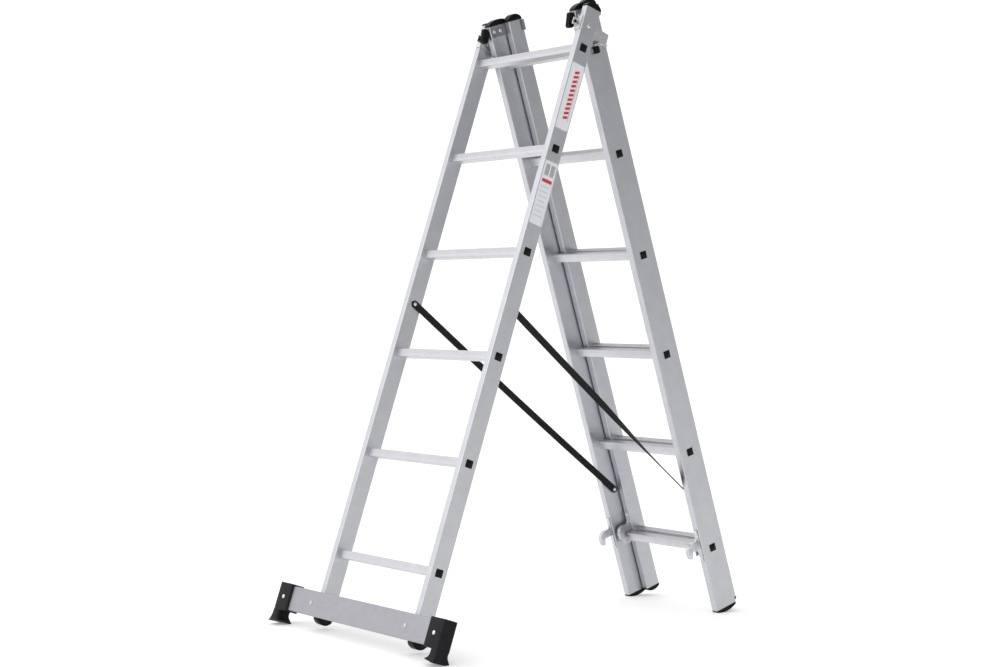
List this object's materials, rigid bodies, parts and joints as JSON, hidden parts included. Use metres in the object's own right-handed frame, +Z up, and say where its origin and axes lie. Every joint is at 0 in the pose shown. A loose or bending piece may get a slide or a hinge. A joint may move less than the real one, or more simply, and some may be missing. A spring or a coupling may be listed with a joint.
{
  "type": "multi position ladder",
  "caption": "Aluminium ladder standing open as an A-frame: front and rear sections that fold on side plates, webbing straps, a sliding section behind and a cross bar on flared feet.",
  "frame": {"origin": "centre of the standing ladder's footprint box, on the floor", "axes": "+Z up, +X across the ladder to the right of someone who faces its front, -Y towards the front section's foot"},
  "size_m": [0.788, 1.1771, 1.6598],
  "materials": {
    "stile_aluminium": "extruded, satin with fine lengthwise lines",
    "rung_aluminium": "extruded, ribbed, bright satin",
    "bar_aluminium": "extruded, satin",
    "hook_aluminium": "cast, fine grained",
    "plate_steel": "zinc plated, satin",
    "bolt_steel": "zinc plated",
    "rivet_aluminium": "bright",
    "black_plastic": "moulded, slightly grained",
    "foot_rubber": "moulded, matt",
    "strap_webbing": "woven webbing",
    "guide_paint": "satin dark grey paint"
  },
  "bodies": {
    "front_section": {"front_stile_left": "stile_aluminium", "front_stile_right": "stile_aluminium", "front_rung_1": "rung_aluminium", "front_rung_2": "rung_aluminium", "front_rung_3": "rung_aluminium", "front_rung_4": "rung_aluminium", "front_rung_5": "rung_aluminium", "front_rung_6": "rung_aluminium", "front_rung_plugs": "black_plastic", "front_top_caps": "black_plastic", "front_end_caps": "black_plastic", "stabiliser_bar": "bar_aluminium", "stabiliser_bolts": "bolt_steel", "foot_left": "foot_rubber", "foot_right": "foot_rubber", "foot_rivets": "rivet_aluminium", "hinge_plates": "plate_steel", "hinge_plate_rivets": "rivet_aluminium", "strap_left": "strap_webbing", "strap_right": "strap_webbing", "strap_rivets_front": "rivet_aluminium"},
    "lock_lever_left": {"lock_lever_left": "black_plastic"},
    "lock_lever_right": {"lock_lever_right": "black_plastic"},
    "rear_section": {"rear_stile_left": "stile_aluminium", "rear_stile_right": "stile_aluminium", "rear_rung_1": "rung_aluminium", "rear_rung_2": "rung_aluminium", "rear_rung_3": "rung_aluminium", "rear_rung_4": "rung_aluminium", "rear_rung_5": "rung_aluminium", "rear_rung_6": "rung_aluminium", "rear_rung_plugs": "black_plastic", "rear_top_caps": "black_plastic", "rear_end_caps": "black_plastic", "fold_pivots": "black_plastic", "fold_pivot_pins": "bolt_steel", "upper_guides": "guide_paint", "guide_rivets": "rivet_aluminium", "strap_rivets_rear": "rivet_aluminium", "rear_hooks": "hook_aluminium", "rear_hook_rivets": "rivet_aluminium"},
    "third_section": {"third_stile_left": "stile_aluminium", "third_stile_right": "stile_aluminium", "third_rung_1": "rung_aluminium", "third_rung_2": "rung_aluminium", "third_rung_3": "rung_aluminium", "third_rung_4": "rung_aluminium", "third_rung_5": "rung_aluminium", "third_rung_6": "rung_aluminium", "third_rung_plugs": "black_plastic", "third_top_caps": "black_plastic", "third_end_caps": "black_plastic", "third_hooks": "hook_aluminium", "third_hook_rivets": "rivet_aluminium"},
    "third_catch_left": {"third_catch_left": "bolt_steel"},
    "third_catch_right": {"third_catch_right": "bolt_steel"}
  },
  "joints": [
    {"name": "fold", "type": "hinge", "parent": "front_section", "child": "rear_section", "pos_m": [0, 0.06232, 1.52108], "axis": [1, 0, 0], "range_deg": [-36, 0], "deforming": ["strap_left", "strap_right"]},
    {"name": "third_slide", "type": "slide", "parent": "rear_section", "child": "third_section", "axis": [0, -0.2957, 0.9553], "range_m": [0, 0.84]},
    {"name": "lock_lever_left_pivot", "type": "hinge", "parent": "front_section", "child": "lock_lever_left", "pos_m": [-0.19, -0.01437, 1.58926], "axis": [1, 0, 0], "range_deg": [0, 80]},
    {"name": "lock_lever_right_pivot", "type": "hinge", "parent": "front_section", "child": "lock_lever_right", "pos_m": [0.19, -0.01437, 1.58926], "axis": [1, 0, 0], "range_deg": [0, 80]},
    {"name": "third_catch_left_pivot", "type": "hinge", "parent": "third_section", "child": "third_catch_left", "pos_m": [-0.1645, 0.44821, 0.19666], "axis": [1, 0, 0], "range_deg": [-40, 0]},
    {"name": "third_catch_right_pivot", "type": "hinge", "parent": "third_section", "child": "third_catch_right", "pos_m": [0.1645, 0.44821, 0.19666], "axis": [1, 0, 0], "range_deg": [-40, 0]}
  ]
}
